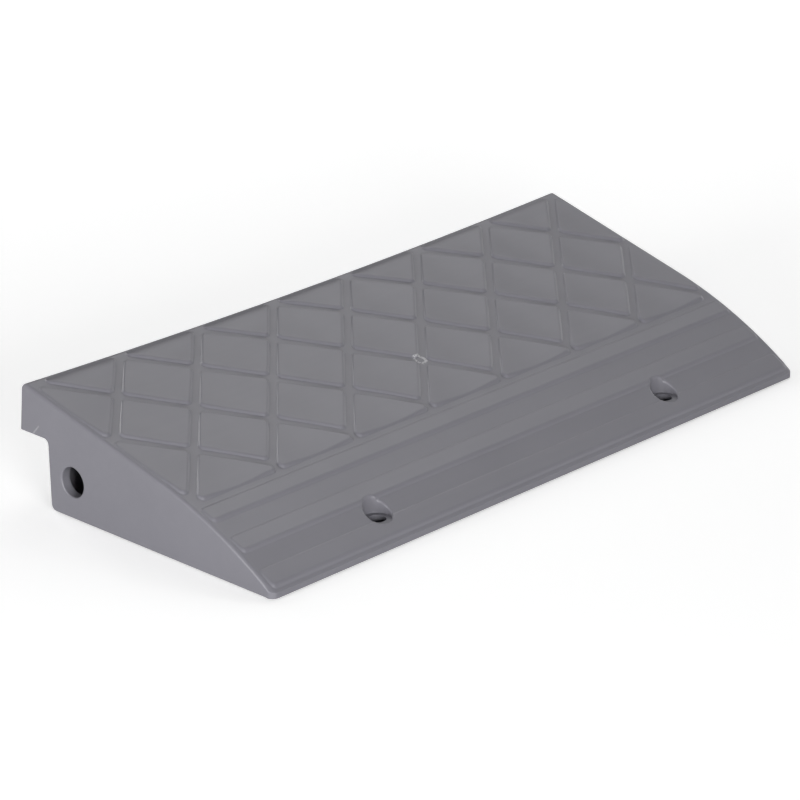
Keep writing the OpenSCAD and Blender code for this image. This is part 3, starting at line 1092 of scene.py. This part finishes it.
rubber = black_rubber()
feet = [node for name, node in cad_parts.items() if name.startswith("foot_")]
for node in feet:
    dress(node, rubber)
print("Rubber feet:", len(feet))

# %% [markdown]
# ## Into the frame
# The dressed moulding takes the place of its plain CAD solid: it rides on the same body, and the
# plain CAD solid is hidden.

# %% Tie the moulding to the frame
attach(moulding, "root")
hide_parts("ramp_body")

# %% [markdown]
# ## The studio
# The ramp was photographed in a white light tent and cut out on white. A tent is softboxes all
# round, so the lamps stand on a dome and face the ramp, from just over the floor to nearly
# overhead. The two strongest stand low, in front and on the left. They light the toe and the end
# wall, and they leave the left wall of each recess dark. The ones behind on the right shine off
# the deck. Camera rays that meet the world see plain white. The floor adds white to what the
# camera sees of it, so the soft shadow stays, and no lamp has to be turned up for the background.
# Under the open moulding the floor is painted dark, as painted shade, so that its holes look into
# the dark.

# %% The floor's finish
FLOOR_WHITE = "#e7e7e7"
# Painted shade: the colour given to the floor under the open moulding
FLOOR_PAINTED_SHADE = "#272727"
FLOOR_GLOW = 0.47
WHITE = linear("#ffffff")


def floor_material():
    """White paper, with painted shade: dark under the open moulding, so that its holes look into
    the dark.
    """
    material, tree, shader, place = new_material("white_floor_with_painted_shade")
    shader.inputs["Roughness"].default_value = 1.0
    shader.inputs["Specular IOR Level"].default_value = 0.0
    front, back = TOE_SOLID, HEEL_Y - REAR_WALL
    under = Vector((HALF_LENGTH - END_WALL, (back - front) / 2)) * MM
    middle = (0, ((back + front) / 2 + TOE_Y) * MM, 0)
    off = add(tree, "ShaderNodeVectorMath", {0: place, 1: middle}, operation="SUBTRACT")
    far = add(tree, "ShaderNodeVectorMath", {0: off}, operation="ABSOLUTE")
    split = add(tree, "ShaderNodeSeparateXYZ", {0: far}).outputs
    past_x = add(tree, "ShaderNodeMath", {0: split["X"], 1: under.x}, operation="GREATER_THAN")
    past_y = add(tree, "ShaderNodeMath", {0: split["Y"], 1: under.y}, operation="GREATER_THAN")
    outside = add(tree, "ShaderNodeMath", {0: past_x, 1: past_y}, operation="MAXIMUM")
    # Painted shade: dark under the moulding, white paper outside it
    colours = {0: outside, 6: linear(FLOOR_PAINTED_SHADE), 7: linear(FLOOR_WHITE)}
    paper = add(tree, "ShaderNodeMix", colours, data_type="RGBA")
    tree.links.new(paper.outputs[2], shader.inputs["Base Color"])
    camera_ray = add(tree, "ShaderNodeLightPath").outputs["Is Camera Ray"]
    seen = add(tree, "ShaderNodeMath", {0: camera_ray, 1: outside}, operation="MULTIPLY")
    glow = add(tree, "ShaderNodeMath", {0: seen, 1: FLOOR_GLOW}, operation="MULTIPLY")
    shader.inputs["Emission Color"].default_value = WHITE
    tree.links.new(glow.outputs[0], shader.inputs["Emission Strength"])
    return material


# %% The floor
FLOOR_SIZE = 60.0

half = FLOOR_SIZE / 2
corners = [(-half, -half, 0), (half, -half, 0), (half, half, 0), (-half, half, 0)]
floor_mesh = bpy.data.meshes.new("floor")
floor_mesh.from_pydata(corners, [], [[0, 1, 2, 3]])
floor = bpy.data.objects.new("floor", floor_mesh)
bpy.context.scene.collection.objects.link(floor)
dress(floor, floor_material())
print("The floor is", FLOOR_SIZE, "m wide")

# %% The world
world = bpy.data.worlds.new("studio")
bpy.context.scene.world = world
world.use_nodes = True
sky = world.node_tree
sky.nodes.clear()
ray = add(sky, "ShaderNodeLightPath").outputs["Is Camera Ray"]
dark = add(sky, "ShaderNodeBackground", {"Color": WHITE, "Strength": 0.0})
white = add(sky, "ShaderNodeBackground", {"Color": WHITE, "Strength": 1.0})
shown = add(sky, "ShaderNodeMixShader", {0: ray, 1: dark, 2: white})
add(sky, "ShaderNodeOutputWorld", {"Surface": shown})
print("The world is white for the camera and dark for the rest")

# %% The softboxes
LAMP_DISTANCE = 2.6
LOW, MIDDLE, LOW_SIZE = 12, 30, 1.0
HIGH, STEEP, HIGH_SIZE = 45, 65, 1.4
LAMPS = [
    ("low_front_left", -150, LOW, 50.5),
    ("low_left", -90, LOW, 37.5),
    ("low_front_right", 135, LOW, 5),
    ("low_right", 90, LOW, 6.2),
    ("low_back_right", 70, LOW, 3.2),
    ("middle_back", 0, MIDDLE, 18.2),
    ("middle_back_right", 45, MIDDLE, 2.1),
    ("high_back_right", 60, HIGH, 7.2),
    ("high_right", 100, HIGH, 4.1),
    ("steep_back_right", 60, STEEP, 7),
]


def softbox(name, bearing, height, power):
    """A square lamp that faces the ramp from a bearing, clockwise from the back, and a height."""
    lamp = bpy.data.lights.new(name, "AREA")
    lamp.shape = "SQUARE"
    lamp.size = LOW_SIZE if height < HIGH else HIGH_SIZE
    lamp.energy = power
    obj = bpy.data.objects.new(name, lamp)
    bearing, height = math.radians(bearing), math.radians(height)
    toward = Vector((
        math.sin(bearing) * math.cos(height),
        math.cos(bearing) * math.cos(height),
        math.sin(height),
    ))
    obj.location = toward * LAMP_DISTANCE
    obj.rotation_euler = (-toward).to_track_quat("-Z", "Y").to_euler()
    bpy.context.scene.collection.objects.link(obj)


for lamp in LAMPS:
    softbox(*lamp)
print("The tent has", len(LAMPS), "softboxes")

# %% [markdown]
# ## The camera
# The ramp was photographed from its front left corner with a long lens, so its long edges hardly
# run together. The place, the direction and the lens were worked out from the edges, pads and
# holes in the photograph. Everything is in focus.

# %% The photographer's place, in metres, and the lens, in millimetres
CAMERA_PLACE = Vector((-2.2291, -2.0978, 1.2816))
CAMERA_AZIMUTH = math.radians(46.42)
CAMERA_TILT = math.radians(22.227)
CAMERA_LENS = 188.84
CAMERA_SENSOR = 36

# %% The camera
camera_data = bpy.data.cameras.new("camera")
camera_data.lens = CAMERA_LENS
camera_data.sensor_width = CAMERA_SENSOR
camera = bpy.data.objects.new("camera", camera_data)
bpy.context.scene.collection.objects.link(camera)
looking = Vector((
    math.sin(CAMERA_AZIMUTH) * math.cos(CAMERA_TILT),
    math.cos(CAMERA_AZIMUTH) * math.cos(CAMERA_TILT),
    -math.sin(CAMERA_TILT),
))
camera.location = CAMERA_PLACE
camera.rotation_euler = looking.to_track_quat("-Z", "Y").to_euler()
bpy.context.scene.camera = camera
bpy.context.scene.view_settings.view_transform = "Standard"
print("The camera stands", round(CAMERA_PLACE.length, 2), "m from the ramp")
